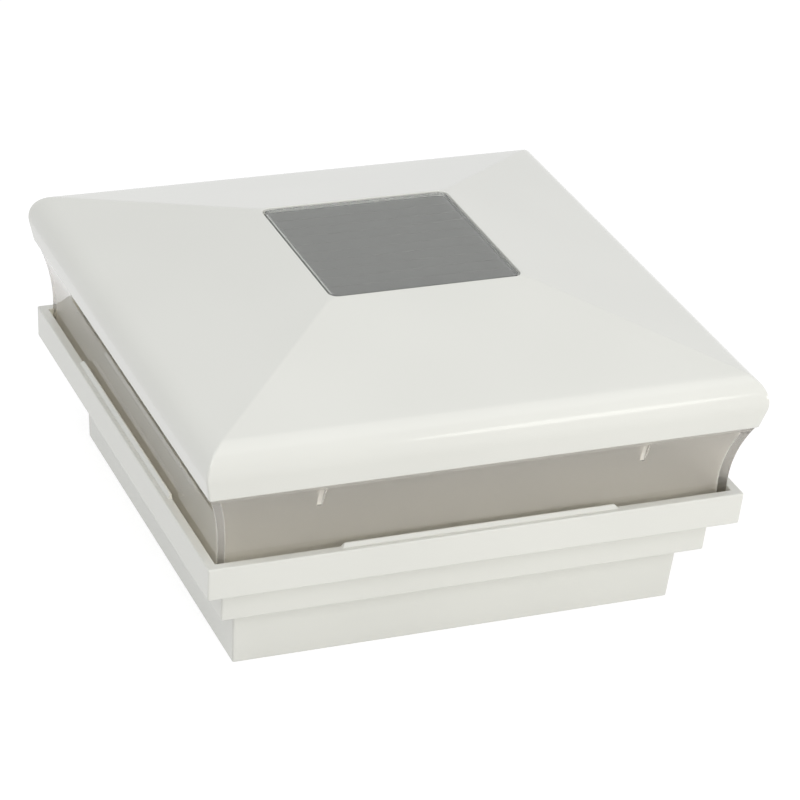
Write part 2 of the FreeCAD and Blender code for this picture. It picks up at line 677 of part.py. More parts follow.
def screws(label, places, top, under_head, tip, head_width, shank_width):
    """Plain screws, each turned from one profile; the tip lies above or below the head."""
    body = new_body(label)
    head, shank = head_width + " / 2", shank_width + " / 2"
    for number, (x, y) in enumerate(places):
        flat = sketch(body, "XZ_Plane", "%s_profile_%d" % (label, number), (x, "0", "-(%s)" % y))
        outline(flat, [("0", top), (head, top), (head, under_head), (shank, under_head),
                       (shank, tip), ("0", tip)])
        revolve(body, flat, "%s_%d" % (label, number))
    return body


# ---------------------------------------------------------------- board, lamps and switch

def control_board():
    """Square circuit board with holes for its screws, the lamp legs and the switch pins."""
    body = new_body("control_board")
    upright_box(body, "board_plate", ("0", "0"), ("board_half", "board_half"), "board_low", "board_top")
    round_edges(body, "board_corners", "board_corner", upright_at("board_half", "board_half"))
    holes = level(body, "board_hole_plan", "board_top")
    for turn in QUARTER_TURNS:
        x, y = quarter("standoff_place", "standoff_place", turn)
        circle(holes, x, y, "board_screw_shank + 0.4")
        for side in ("-", "+"):
            x, y = quarter("(led_place %s led_leg_pitch / 2)" % side, "led_place", turn)
            circle(holes, x, y, "leg_hole")
    for place in ("-pin_pitch", "0", "pin_pitch"):
        circle(holes, place, "-pin_place", "pin_hole")
    pocket(body, holes, "board_holes", "board_thick")
    return body


def leds():
    """Four round lamps with domed tips, pointing down through the tray."""
    body = new_body("leds")
    for turn in QUARTER_TURNS:
        x, y = quarter("led_place", "led_place", turn)
        flat = sketch(body, "XZ_Plane", "led_profile_%d" % turn, (x, "0", "-(%s)" % y))
        barrel, flange = "led_width / 2", "led_flange_width / 2"
        outline(flat, [
            ("0", "led_tip", "led_width / 2"), (barrel, "led_tip + led_width / 2"),
            (barrel, "led_top - led_flange_thick"), (flange, "led_top - led_flange_thick"),
            (flange, "led_top"), ("0", "led_top")])
        revolve(body, flat, "led_%d" % turn)
    return body


def led_legs():
    """Two square legs on each lamp, up through the board."""
    body = new_body("led_legs")
    plan = level(body, "leg_plan", "led_top")
    for turn in QUARTER_TURNS:
        for side in ("-", "+"):
            middle = quarter("(led_place %s led_leg_pitch / 2)" % side, "led_place", turn)
            rectangle(plan, middle, ("led_leg / 2", "led_leg / 2"))
    pad(body, plan, "legs", "led_standoff + board_thick + leg_tail")
    return body


def board_parts():
    """The chip, the choke coil and the capacitor on top of the board."""
    chip = new_body("control_chip")
    upright_box(chip, "chip_block", ("0", "0"), ("2.5", "2"), "board_top", "board_top + 1.5")
    choke = new_body("choke_coil")
    capacitor = new_body("buffer_capacitor")
    turned = ((choke, "-10", "7", "6", "1.2"), (capacitor, "10", "5", "7", "0.3"))
    for body, x, width, height, waist in turned:
        flat = sketch(body, "XZ_Plane", body.Label + "_profile", (x, "0", "-5"))
        outer, inner = width + " / 2", "%s / 2 - %s" % (width, waist)
        outline(flat, [
            ("0", "board_top"), (outer, "board_top"), (outer, "board_top + 1"),
            (inner, "board_top + 1.4"), (inner, "board_top + %s - 1.4" % height),
            (outer, "board_top + %s - 1" % height), (outer, "board_top + " + height),
            ("0", "board_top + " + height)])
        revolve(body, flat, body.Label + "_turned")
    return [chip, choke, capacitor]


def switch_housing():
    """Open-topped box under the board that guides the knob."""
    body = new_body("switch_housing")
    place = ("0", "-switch_place")
    upright_box(body, "switch_block", place, ("switch_length / 2", "switch_width / 2"),
                "switch_low", "board_low")
    hollow = level(body, "switch_hollow_plan", "board_low")
    rectangle(hollow, place, ("switch_length / 2 - switch_wall", "switch_width / 2 - switch_wall"))
    pocket(body, hollow, "switch_hollow", "switch_depth - switch_wall")
    slot = level(body, "switch_slot_plan", "board_low")
    rectangle(slot, place, ("(switch_travel + knob_length) / 2 + 4 * knob_slack",
                            "knob_width / 2 + 4 * knob_slack"))
    pocket(body, slot, "switch_slot", "switch_depth")
    return body


def switch_knob():
    """Slider block with the knob that the user pushes, at the left end of its travel."""
    body = new_body("switch_knob")
    place = ("knob_rest", "-switch_place")
    floor = "switch_low + switch_wall"
    upright_box(body, "knob_stem", place, ("knob_length / 2", "knob_width / 2"),
                "tray_low - knob_stand", "board_low - 2 * knob_slack")
    upright_box(body, "knob_base", place,
                ("knob_base_length / 2", "switch_width / 2 - switch_wall - knob_slack"),
                "(%s + knob_slack)" % floor, "board_low - 2 * knob_slack")
    groove = sketch(body, "XZ_Plane", "knob_grooves", ("knob_rest", "tray_low - knob_stand", "switch_place"))
    for place in ("-1", "0", "1"):
        outline(groove, [(place + " - 0.3", "0"), (place + " + 0.3", "0"), (place, "0.4")])
    pocket(body, groove, "knob_grooves_cut", "knob_width", symmetric=True)
    return body


def switch_pins():
    """Three pins from the switch's rear wall up through the board."""
    body = new_body("switch_pins")
    plan = level(body, "pin_plan", "board_low")
    for place in ("-pin_pitch", "0", "pin_pitch"):
        rectangle(plan, (place, "-pin_place"), ("pin_width / 2", "pin_width / 2"))
    pad(body, plan, "pins", "board_thick + leg_tail")
    return body


# ---------------------------------------------------------------- cells and contacts

def battery_cells():
    """Two AA cells side by side, pointing opposite ways."""
    body = new_body("battery_cells")
    for number, (ahead, side) in enumerate((("", "+"), ("-", "-"))):
        origin = ("0", "bay_y %s cell_offset" % side, "cell_z")
        flat = sketch(body, "XY_Plane", "cell_profile_%d" % number, origin)
        can, button = "cell_width / 2", "cell_button_width / 2"
        outline(flat, [(ahead + "(%s)" % x, y) for x, y in (
            ("can_back", "0"), ("can_back", can + " - cell_shoulder"), ("can_back + cell_shoulder", can),
            ("can_front - cell_shoulder", can), ("can_front", can + " - cell_shoulder"),
            ("can_front", button), ("button_tip", button), ("button_tip", "0"))])
        revolve(body, flat, "cell_%d" % number, "H_Axis")
    return body


def contact_plate(label, end, side, button, tab):
    """A flat terminal plate at one end of the bay, with an optional dimple and solder tab."""
    body = new_body(label)
    inward = end == "+"
    face = "contact_face" if inward else "-contact_face - contact_thick"
    flat = sketch(body, "YZ_Plane", label + "_face", ("bay_y", "0", face))
    half, low, high = "contact_width / 2", "cell_z - contact_height / 2", "cell_z + contact_height / 2"
    middle = "%scell_offset" % side
    if tab:
        strip, tip = "tab_strip_width / 2", "bay_top + tab_strip_rise"
        outline(flat, [
            (middle + " - " + half, low), (middle + " + " + half, low), (middle + " + " + half, high),
            (middle + " + " + strip, high), (middle + " + " + strip, tip),
            (middle + " - " + strip, tip), (middle + " - " + strip, high), (middle + " - " + half, high)])
    else:
        rectangle(flat, ("0", "cell_z"), ("cell_offset + " + half, "contact_height / 2"))
    pad(body, flat, label + "_plate", "contact_thick")
    if button:
        origin = ("bay_y", "0", "contact_face" if inward else "-contact_face")
        dimple = sketch(body, "YZ_Plane", label + "_dimple_face", origin)
        circle(dimple, "%scell_offset" % button, "cell_z", "dimple_width")
        pad(body, dimple, label + "_dimple", "dimple_height", down=inward)
    return body


def contact_springs():
    """One bowed leaf behind each cell, standing with both feet on the plate."""
    body = new_body("contact_springs")
    for end, side in (("-", "+"), ("", "-")):
        leaf = sketch(body, "XY_Plane", "leaf_edge_%s" % ("left" if end else "right"),
                      (end + "contact_face", "bay_y %s cell_offset" % side, "cell_z"))
        turn = "" if end else "-"
        foot, inner_foot = turn + "leaf_half_span", turn + "leaf_inner_half_span"
        start, inner_start = "-(%s)" % foot, "-(%s)" % inner_foot
        outline(leaf, [("0", start, "leaf_radius"), ("0", foot),
                       ("0", inner_foot, "-leaf_inner_radius"), ("0", inner_start)])
        pad(body, leaf, leaf.Name + "_leaf", "leaf_width", symmetric=True)
    return body


def plain_feature(label, shape):
    """A sub-part whose shape is set straight from edges and faces."""
    feature = document.addObject("Part::Feature", label)
    feature.Label = label
    feature.Shape = shape
    feature.Placement = FreeCAD.Placement()
    return feature


# ---------------------------------------------------------------- battery door

def battery_door():
    """Shallow pan that closes the bay from below, with a rim on the tray and screw seats."""
    body = new_body("battery_door")
    place, half = ("0", "bay_y"), ("door_half", "door_half_width")
    upright_box(body, "door_plate", place, half, "door_low", "tray_low")
    pan = level(body, "door_pan_plan", "tray_low")
    rectangle(pan, place, ("door_screw_at - door_boss_width / 2", "door_half_width - door_rim"))
    pocket(body, pan, "door_pan", "gasket_thick")
    x, y = size("door_half"), (size("bay_y - door_half_width"), size("bay_y + door_half_width"))

    def corner(edge):
        ends = [vertex.Point for vertex in edge.Vertexes]
        return len(ends) == 2 and all(abs(abs(end.x) - x) < 1e-3 and min(
            abs(end.y - y[0]), abs(end.y - y[1])) < 1e-3 for end in ends) and abs(
                ends[0].z - ends[1].z) > 0.1
    round_edges(body, "door_corners", "door_corner", corner)
    seats = level(body, "door_seat_plan", "door_low")
    holes = level(body, "door_screw_hole_plan", "door_low")
    for x in ("door_screw_at", "-door_screw_at"):
        circle(seats, x, "bay_y", "door_screw_head + 0.4")
        circle(holes, x, "bay_y", "door_screw_shank + 0.2")
    pocket(body, seats, "door_seats", "door_screw_head_thick", up=True)
    pocket(body, holes, "door_screw_holes", "door_thick + gasket_thick", up=True)
    return body


def door_gasket():
    """Rubber ring in the door's pan, round the mouth of the bay."""
    body = new_body("door_gasket")
    plan = level(body, "gasket_plan", "door_top")
    for extra in ("gasket_gap", "gasket_gap + gasket_width"):
        rectangle(plan, ("0", "bay_y"), ("bay_half + " + extra, "bay_width / 2 + " + extra))
    pad(body, plan, "gasket", "gasket_thick")
    return body


# ---------------------------------------------------------------- leads

def lead(label, stops):
    """A covered wire through the stops, with tangent arcs at the turns."""
    points = [Vector(*(size(value) for value in stop)) for stop in stops]
    edges = []
    here = points[0]
    for before, corner, after in zip(points, points[1:], points[2:]):
        into, away = (before - corner).normalize(), (after - corner).normalize()
        run = 0.45 * min((before - corner).Length, (after - corner).Length)
        first, last = corner + into * run, corner + away * run
        half_angle = into.getAngle(away) / 2
        bisector = (into + away).normalize()
        radius = run * math.tan(half_angle)
        crown = corner + bisector * (radius / math.sin(half_angle) - radius)
        edges += [Part.LineSegment(here, first).toShape(), Part.Arc(first, crown, last).toShape()]
        here = last
    edges.append(Part.LineSegment(here, points[-1]).toShape())
    route = Part.Wire(edges)
    ring = Part.Wire(Part.makeCircle(size("lead_width / 2"), points[0], points[1] - points[0]))
    print("%s: %.0f mm long" % (label, route.Length))
    return plain_feature(label, route.makePipeShell([ring], True, False))


def leads():
    """The panel's and the battery's leads, from their pads to the board's top."""
    out = "contact_face - lead_width / 2"
    plus, minus = "bay_y + cell_offset + 1", "bay_y - cell_offset + 1"
    return [
        lead("battery_lead_positive", [
            (out, plus, "lead_z"), ("24", "bay_y - 9", "lead_z + 1.5"),
            ("20", "12", "lead_z - 1"), ("20", "12", "board_top")]),
        lead("battery_lead_negative", [
            (out, minus, "lead_z"), ("27", "24", "lead_z + 0.5"),
            ("20", "6.5", "lead_z - 3"), ("20", "6.5", "board_top")]),
        lead("panel_lead_positive", [
            ("-6", "4", "backing_low"), ("-6", "4", "backing_low - 7"),
            ("-20", "12", "board_top + 7"), ("-20", "12", "board_top")]),
        lead("panel_lead_negative", [
            ("-6", "-4", "backing_low"), ("-6", "-4", "backing_low - 7"),
            ("-20", "6.5", "board_top + 7"), ("-20", "6.5", "board_top")]),
    ]


# ---------------------------------------------------------------- the whole light

def build():
    """Make every sub-part."""
    make_sheets()
    parts = [base_housing(), lens_ring(), roof_shell()]
    parts += [panel_plate("solar_window", "window_low", "window_thick"),
              panel_plate("solar_backing", "backing_low", "backing_thick"),
              solar_cells(), panel_sealant(), lamp_tray()]
    parts.append(screws("tray_screws", screw_places(), "tray_low - tray_screw_head_thick", "tray_low",
                        "tray_top + tray_screw_grip", "tray_screw_head", "tray_screw_shank"))
    parts += [control_board(), leds(), led_legs(), *board_parts()]
    parts += [switch_housing(), switch_knob(), switch_pins(), battery_cells()]
    parts.append(contact_plate("positive_contact", "+", "+", "+", True))
    parts.append(contact_plate("negative_contact", "+", "-", "", True))
    parts.append(contact_plate("cell_link_plate", "-", "", "-", False))
    parts += [contact_springs(), battery_door(), door_gasket(), *leads()]
    return parts


def board_and_door_screws():
    """The board's screws point down, the door's captive screws point up."""
    corners = [quarter("standoff_place", "standoff_place", turn) for turn in QUARTER_TURNS]
    door_places = [("door_screw_at", "bay_y"), ("-door_screw_at", "bay_y")]
    return [screws("board_screws", corners, "board_top + board_screw_head_thick", "board_top",
                   "board_top - board_screw_length", "board_screw_head", "board_screw_shank"),
            screws("door_screws", door_places, "door_low", "door_low + door_screw_head_thick",
                   "door_low + door_screw_length", "door_screw_head", "door_screw_shank")]


def check_and_write(parts):
    """Stop on any failed object or bad shape, then write one file per sub-part."""
    document.recompute()
    for item in document.Objects:
        if {"Invalid", "Error"} & set(item.State):
            raise RuntimeError("%s failed: %s" % (item.Name, item.State))
    os.makedirs("parts", exist_ok=True)
    for part in parts:
        shape = part.Shape
        if shape.isNull() or not shape.isValid() or not shape.Solids:
            raise RuntimeError(part.Label + " has a bad shape")
        shape.exportStep("parts/%s.step" % part.Label)
        print("%-24s %2d solid(s) %10.1f mm3" % (part.Label, len(shape.Solids), shape.Volume))


sub_parts = build() + board_and_door_screws()
check_and_write(sub_parts)
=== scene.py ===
# %% [markdown]
# # A solar cap light for a deck post
#
# The object is a square white cap, about 182 mm wide, that stands on top of a 6x6 deck post. A
# stepped base goes over the post's end, a clear ring of coved panes stands in the base's rim, and a
# hipped roof with a rounded eave carries a small solar panel. Small parts such as screws, cells,
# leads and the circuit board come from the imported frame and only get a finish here. The large
# moulded shells are made again, because a real moulding has no knife edges: every edge carries a
# small rounding, and that rounding is what catches the light.

import math

import bmesh
import bpy
import numpy as np
from mathutils import Matrix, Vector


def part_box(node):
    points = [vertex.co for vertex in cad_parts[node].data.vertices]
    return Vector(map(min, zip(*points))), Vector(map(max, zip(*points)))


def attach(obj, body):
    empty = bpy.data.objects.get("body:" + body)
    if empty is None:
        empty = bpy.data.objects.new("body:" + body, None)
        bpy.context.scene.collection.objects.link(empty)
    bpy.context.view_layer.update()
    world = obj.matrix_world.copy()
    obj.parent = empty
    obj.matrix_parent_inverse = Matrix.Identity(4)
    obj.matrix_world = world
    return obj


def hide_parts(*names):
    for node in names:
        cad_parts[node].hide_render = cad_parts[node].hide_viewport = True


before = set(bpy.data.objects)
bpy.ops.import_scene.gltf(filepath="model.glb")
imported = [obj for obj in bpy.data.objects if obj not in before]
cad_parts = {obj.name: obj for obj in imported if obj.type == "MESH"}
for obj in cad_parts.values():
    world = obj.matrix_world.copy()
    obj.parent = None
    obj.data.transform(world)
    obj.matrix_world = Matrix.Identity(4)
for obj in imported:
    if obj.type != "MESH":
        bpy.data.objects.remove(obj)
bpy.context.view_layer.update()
MM = 0.001

# %% [markdown]
# ## Outlines with soft corners
#
# Each shell of the cap has one cross-section all round, so the work starts with flat outlines of
# points (half width, height) in millimetres. A corner could be left sharp and softened later with a
# Bevel modifier, but a tangent arc in the outline itself gives each corner its own radius and keeps
# the faces in clean rows.

# %% Arcs and soft corners
def arc(centre, radius, start, stop, steps):
    """Points of a circle: the centre plus the radius times cosine and sine of even angles in degrees."""
    angle = np.radians(np.linspace(start, stop, steps + 1))
    return np.column_stack([centre[0] + radius * np.cos(angle), centre[1] + radius * np.sin(angle)])


def unit(arrows):
    """Each arrow divided by its own length."""
    return arrows / np.maximum(np.linalg.norm(arrows, axis=-1, keepdims=True), 1e-12)


def softened(corners, radii, steps=4, hold=0.45):
    """Round the corners of an outline, each with an arc that touches both of its runs.

    With t the angle that the outline turns by at a corner, the arc starts and ends radius * tan(t / 2)
    from it, and its centre is radius / cos(t / 2) away on the line that halves the corner. A point
    at share s of the arc is the centre plus sin((1 - s) t) / sin(t) of the first arm plus
    sin(s t) / sin(t) of the last. A corner of radius 0 stays a point. One more point stands `hold`
    millimetres along each run, so that an arc's smooth shading doesn't spread over the flat.
    """
    corners = np.asarray(corners, float)
    radii = np.broadcast_to(np.asarray(radii, float), len(corners))[:, None]
    back, ahead = np.roll(corners, 1, 0) - corners, np.roll(corners, -1, 0) - corners
    to_back, to_ahead = unit(back), unit(ahead)
    turn = np.pi - np.arccos(np.clip((to_back * to_ahead).sum(1, keepdims=True), -1, 1))
    cut = radii * np.tan(turn / 2)
    centre = corners + unit(to_back + to_ahead) * radii / np.cos(turn / 2)
    first, last = corners + to_back * cut - centre, corners + to_ahead * cut - centre
    share = np.linspace(0, 1, steps + 1)[None, :, None]
    bend = np.maximum(turn, 1e-6)[:, :, None]
    rounded = centre[:, None] + (np.sin((1 - share) * bend) * first[:, None]
                                 + np.sin(share * bend) * last[:, None]) / np.sin(bend)
    free_ahead = np.linalg.norm(ahead, axis=1, keepdims=True) - cut - np.roll(cut, -1, 0)
    free_back = np.roll(free_ahead, 1, 0)
    stand_back = np.where(radii > 0, np.minimum(hold, 0.4 * free_back), 0)
    stand_ahead = np.where(radii > 0, np.minimum(hold, 0.4 * free_ahead), 0)
    before = corners + to_back * (cut + stand_back)
    after = corners + to_ahead * (cut + stand_ahead)
    points = np.concatenate([before[:, None], rounded, after[:, None]], 1).reshape(-1, 2)
    apart = np.linalg.norm(points - np.roll(points, 1, 0), axis=1) > 1e-5
    return points[apart]


print("a soft unit square has", len(softened([(0, 0), (1, 0), (1, 1), (0, 1)], 0.1)), "points")

# %% [markdown]
# ## Carrying an outline round a square
#
# On the real tool the four sides of a shell meet in mitres. A sweep modifier could do this, but the
# plan is so simple that a formula is shorter: each outline point goes once round a square with
# rounded corners, and all of its points come from one quarter that is turned four times.

# %% The square ring
def round_square(outline, corner, steps=5, hold=0.6):
    """Carry (half, height) points round a square whose corners have the radius `corner`.

    The first quarter's points are (half - corner + corner cos t, half - corner + corner sin t) with
    t from 0 to 90 degrees, and one point `hold` before and after them. Each further quarter is the
    last one turned by 90 degrees: (x, y) becomes (-y, x).
    """
    half, height = np.asarray(outline, float).T[:, :, None]
    corner = np.broadcast_to(np.asarray(corner, float), len(half))[:, None]
    t = np.radians(np.linspace(0, 90, steps + 1))[None, :]
    x = half - corner + corner * np.cos(t)
    y = half - corner + corner * np.sin(t)
    x = np.hstack([half, x, half - corner - hold])
    y = np.hstack([half - corner - hold, y, half])
    quarters = [(x, y), (-y, x), (-x, -y), (y, -x)]
    plan = [np.stack([a, b, np.broadcast_to(height, a.shape)], -1) for a, b in quarters]
    return np.concatenate(plan, 1)


def quads(rows, columns, close_rows=False, close_columns=True):
    """The corner numbers of every square of a grid, whose rows and columns may close on themselves."""
    row = np.arange(rows if close_rows else rows - 1)[:, None]
    column = np.arange(columns if close_columns else columns - 1)[None, :]
    next_row, next_column = (row + 1) % rows, (column + 1) % columns
    return np.stack([row * columns + column, row * columns + next_column,
                     next_row * columns + next_column, next_row * columns + column], -1).reshape(-1, 4)


def outward(points, blocks):
    """Turn all faces over if the solid's volume, the sum of a . (b x c) / 6 of its triangles, is negative."""
    volume = 0.0
    for block in blocks:
        for k in range(1, block.shape[1] - 1):
            a, b, c = points[block[:, 0]], points[block[:, k]], points[block[:, k + 1]]
            volume += (a * np.cross(b, c)).sum() / 6
    return points, [block[:, ::-1] for block in blocks] if volume < 0 else blocks, abs(volume)


def solid(grid, closed_rows=False):
    """A closed solid from a grid of rows: the last row joins the first, or both end rows get a flat cap."""
    rows, columns = grid.shape[:2]
    blocks = [quads(rows, columns, close_rows=closed_rows)]
    if not closed_rows:
        blocks += [np.arange(columns)[None, ::-1], np.arange(columns)[None] + (rows - 1) * columns]
    return outward(grid.reshape(-1, 3), blocks)


print("one outline point goes round a square in", round_square([(10, 0)], 1).shape[1], "points")

# %% [markdown]
# ## Prisms and turned parts
#
# Ribs, lips, bosses and fences are small straight or round features that the tool adds to a shell.
# Each one is its own closed solid that sinks a little into the shell, which looks the same as a
# fused one and keeps the shell's rows of faces clean.

# %% Prisms and turned parts
def inset(outline, distance):
    """Move each corner of an outline inwards along the line that halves it, by distance / cos(turn / 2)."""
    outline = np.asarray(outline, float)
    along = unit(np.roll(outline, -1, 0) - outline)
    before = np.roll(along, 1, 0)
    inwards = np.column_stack([-along[:, 1], along[:, 0]]) + np.column_stack([-before[:, 1], before[:, 0]])
    area = (outline[:, 0] * np.roll(outline[:, 1], -1) - outline[:, 1] * np.roll(outline[:, 0], -1)).sum()
    push = inwards / np.maximum((inwards ** 2).sum(1, keepdims=True) / 2, 0.3)
    return outline + push * distance * np.sign(area)


def prism(outline, low, high, soft=0.2, lean=None):
    """An outline raised from `low` to `high`, drawn in by `soft` at both ends.

    `lean` is (slope, level): an end then moves in by slope times how far a point is above level.
    """
    outline = np.asarray(outline, float)
    rows = []
    for end, side in ((low, 1), (high, -1)):
        for drawn, step in ((soft, 0.0), (0.0, soft))[::side]:
            flat = inset(outline, drawn) if drawn else outline
            place = np.full(len(flat), end + side * step)
            if lean:
                place = place + side * lean[0] * (flat[:, 1] - lean[1])
            rows.append(np.column_stack([flat, place]))
    return solid(np.stack(rows))


def turned(outline, x=0.0, y=0.0, around=28, closed_rows=False):
    """Points (radius, height) turned round an upright axis at (x, y)."""
    radius, height = np.asarray(outline, float).T[:, :, None]
    angle = np.linspace(0, 2 * np.pi, around, endpoint=False)[None, :]
    grid = np.stack([x + radius * np.cos(angle), y + radius * np.sin(angle),
                     np.broadcast_to(height, (len(radius), around))], -1)
    return solid(grid, closed_rows)


def moved(shape, matrix):
    """A solid with each point multiplied by a 3 x 3 matrix. A mirroring matrix turns the faces back."""
    points, blocks, volume = shape
    matrix = np.asarray(matrix, float)
    return outward(points @ matrix.T, blocks)


def on_four_sides(shapes):
    """The shapes, and the same shapes turned by 90, 180 and 270 degrees about the upright axis."""
    turns = [np.round([[np.cos(a), -np.sin(a), 0], [np.sin(a), np.cos(a), 0], [0, 0, 1]])
             for a in np.radians([0, 90, 180, 270])]
    return [moved(shape, turn) for turn in turns for shape in shapes]


SIDE_VIEW = [[1, 0, 0], [0, 0, 1], [0, 1, 0]]   # outline (x, z), raised along y
FRONT_VIEW = [[0, 0, 1], [1, 0, 0], [0, 1, 0]]  # outline (y, z), raised along x
print("a pin of 1 mm radius and 1 mm height holds", round(turned([(1, 0), (1, 1)])[2], 3), "mm3, pi if round")

# %% [markdown]
# ## From arrays to a piece
#
# A mesh takes its corner points and faces in one call. Smooth shading is then split wherever two
# faces meet at more than 35 degrees, so roundings look round and true corners stay crisp. A piece
# keeps its place in its mesh and its object at the origin, as the frame's own pieces do.

# %% Make a piece
def mesh_of(name, shapes):
    """One mesh of several solids: their points in a row, and each solid's faces counted on from the last."""
    counts = np.cumsum([0] + [len(points) for points, _, _ in shapes])
    faces = [face for (_, blocks, _), first in zip(shapes, counts)
             for block in blocks for face in (block + first).tolist()]
    mesh = bpy.data.meshes.new(name)
    mesh.from_pydata((np.concatenate([points for points, _, _ in shapes]) * MM).tolist(), [], faces)
    return mesh


def exactly(mesh, action, tool):
    """The mesh after an exact DIFFERENCE or UNION with another one."""
    objects = [bpy.data.objects.new(m.name, m) for m in (mesh, tool)]
    for thing in objects:
        bpy.context.scene.collection.objects.link(thing)
    modifier = objects[0].modifiers.new(action, "BOOLEAN")
    modifier.operation, modifier.object, modifier.solver = action, objects[1], "EXACT"
    bpy.context.view_layer.update()
    result = bpy.data.meshes.new_from_object(objects[0].evaluated_get(bpy.context.evaluated_depsgraph_get()))
    for thing in objects:
        bpy.data.objects.remove(thing)
    return result


def piece(name, shapes, body, replaces, cut=(), add=(), beside=()):
    """An object of solids in millimetres. The solids in `cut` are taken away and those in `add` joined on,
    both exactly, and those in `beside` are laid into the same mesh as they are."""
    mesh = mesh_of(name + "_shell", shapes)
    for tools, action in ((cut, "DIFFERENCE"), (add, "UNION")):
        for tool in tools:
            mesh = exactly(mesh, action, mesh_of("tool", [tool]))
    work = bmesh.new()
    work.from_mesh(mesh)
    if beside:
        work.from_mesh(mesh_of("beside", beside))
    mesh = bpy.data.meshes.new(name)
    work.to_mesh(mesh)
    work.free()
    mesh.shade_smooth()
    mesh.set_sharp_from_angle(angle=math.radians(35))
    made = bpy.data.objects.new(name, mesh)
    bpy.context.scene.collection.objects.link(made)
    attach(made, body)
    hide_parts(*replaces)
    spread = np.empty(3 * len(mesh.vertices))
    mesh.vertices.foreach_get("co", spread)
    print(f"{name}: {len(mesh.polygons)} faces, {np.round(np.ptp(spread.reshape(-1, 3), axis=0) / MM, 2)} mm")
    return made


# %% [markdown]
# ## The hipped roof
#
# The roof is one injection moulding. From below, its outline goes up the eave's face, which leans in
# by 13 degrees towards the bottom, round a bullnose of 9.5 mm radius, and up the 15 degree slope to
# the recess of the solar panel. The inside runs parallel, one wall of 2.4 mm further in. A subdivided
# cube could be pushed into this form, but only an exact arc gives the long, even highlight that the
# bullnose shows.

# %% Roof outline
SLOPE = math.radians(15)
EAVE_AT, EAVE_R, WALL = np.array([81.45, 76.0]), 9.5, 2.4
EAVE_LOW, EAVE_LOW_HALF, ROOF_BORE = 67.4, 89.21, 87.01
WINDOW_HALF, LEDGE_HALF, LEDGE_TOP, LEDGE_LOW = 32.0, 27.0, 94.28, 92.28


def slope_height(half, drop=0.0):
    """The slope's height at a half width: it starts at the bullnose and rises by tan(15 degrees)."""
    start = EAVE_AT + (EAVE_R - drop) * np.array([math.sin(SLOPE), math.cos(SLOPE)])
    return start[1] + (start[0] - half) * math.tan(SLOPE)


bullnose = arc(EAVE_AT, EAVE_R, -13, 75, 22)
inside_turn = math.degrees(math.acos((ROOF_BORE - EAVE_AT[0]) / (EAVE_R - WALL)))
inner_round = arc(EAVE_AT, EAVE_R - WALL, 75, inside_turn, 10)
roof_corners = np.concatenate([
    [(ROOF_BORE, EAVE_LOW), (EAVE_LOW_HALF, EAVE_LOW)], bullnose,
    [(80.0, slope_height(80.0)), (34.5, slope_height(34.5)), (WINDOW_HALF, slope_height(WINDOW_HALF)),
     (WINDOW_HALF, LEDGE_TOP), (LEDGE_HALF, LEDGE_TOP), (LEDGE_HALF, LEDGE_LOW),
     (WINDOW_HALF + WALL, LEDGE_LOW), (WINDOW_HALF + WALL, slope_height(WINDOW_HALF + WALL, WALL))],
    inner_round])
edge_rounding = {0: 0.25, 1: 0.8, 27: 0.3, 28: 0.2, 29: 0.2, 30: 0.2, 31: 0.3, 32: 0.3}
roof_radii = np.array([edge_rounding.get(i, 0.0) for i in range(len(roof_corners))])
roof_outline = softened(roof_corners, roof_radii)
print("roof outline:", len(roof_outline), "points, slope meets the recess at",
      round(slope_height(WINDOW_HALF), 2), "mm")

# %% [markdown]
# The hips of the real roof are crisp lines that only the tool's polish softens, while the recess for
# the panel has corners of 3 mm radius. So the plan's corner radius is a curve over the half width:
# 0.6 mm everywhere on the slopes and eave, and 3 mm at the recess.

# %% Roof shell
def hip_radius(half):
    """0.6 mm out on the slopes, which grows to 3 mm over the last few millimetres before the recess."""
    near = np.clip((WINDOW_HALF + 2.6 - half) / 2.6, 0, 1)
    return 0.6 + 2.4 * near * near * (3 - 2 * near)


roof = solid(round_square(roof_outline, hip_radius(roof_outline[:, 0]), steps=6), closed_rows=True)

rib_wall = EAVE_R - WALL / 2
rib_start, rib_round = 80.01, arc(EAVE_AT, rib_wall, 0, 75, 6)
rib_side = np.concatenate([[(rib_start, 71.0), (EAVE_AT[0] + rib_wall - 0.8, 71.0)], rib_round,
                           [(rib_start, slope_height(rib_start, WALL / 2))]])
eave_ribs = on_four_sides([moved(prism(rib_side, y - 0.8, y + 0.8, 0.15), SIDE_VIEW)
                           for y in (-60, -30, 0, 30, 60)])

boss_places = [(x, y) for x in (-72.01, 72.01) for y in (-72.01, 0, 72.01)]
boss_top = slope_height(72.01 + 3.5) - 0.5
screw_bosses = [turned([(0.3, 77.8), (1.55, 77.8), (1.55, 69.0), (1.75, 68.8), (3.3, 68.8), (3.5, 69.0),
                        (3.5, boss_top), (0.3, boss_top)], x, y, 24) for x, y in boss_places]

roof_piece = piece("roof", [roof] + eave_ribs + screw_bosses, "cap", ["roof_shell"])

# %% [markdown]
# ## The stepped base
#
# The base is one moulding too: a skirt round the post, two steps that widen it, a rim that the lens
# ring stands in, and a deck plate that rests on the post's end. Its outline is open, from the middle
# of the deck's underside round to the middle of its top, and the two flat caps close it. The tiers
# lean outwards by about a degree, which is the draft that lets the moulding leave its tool.

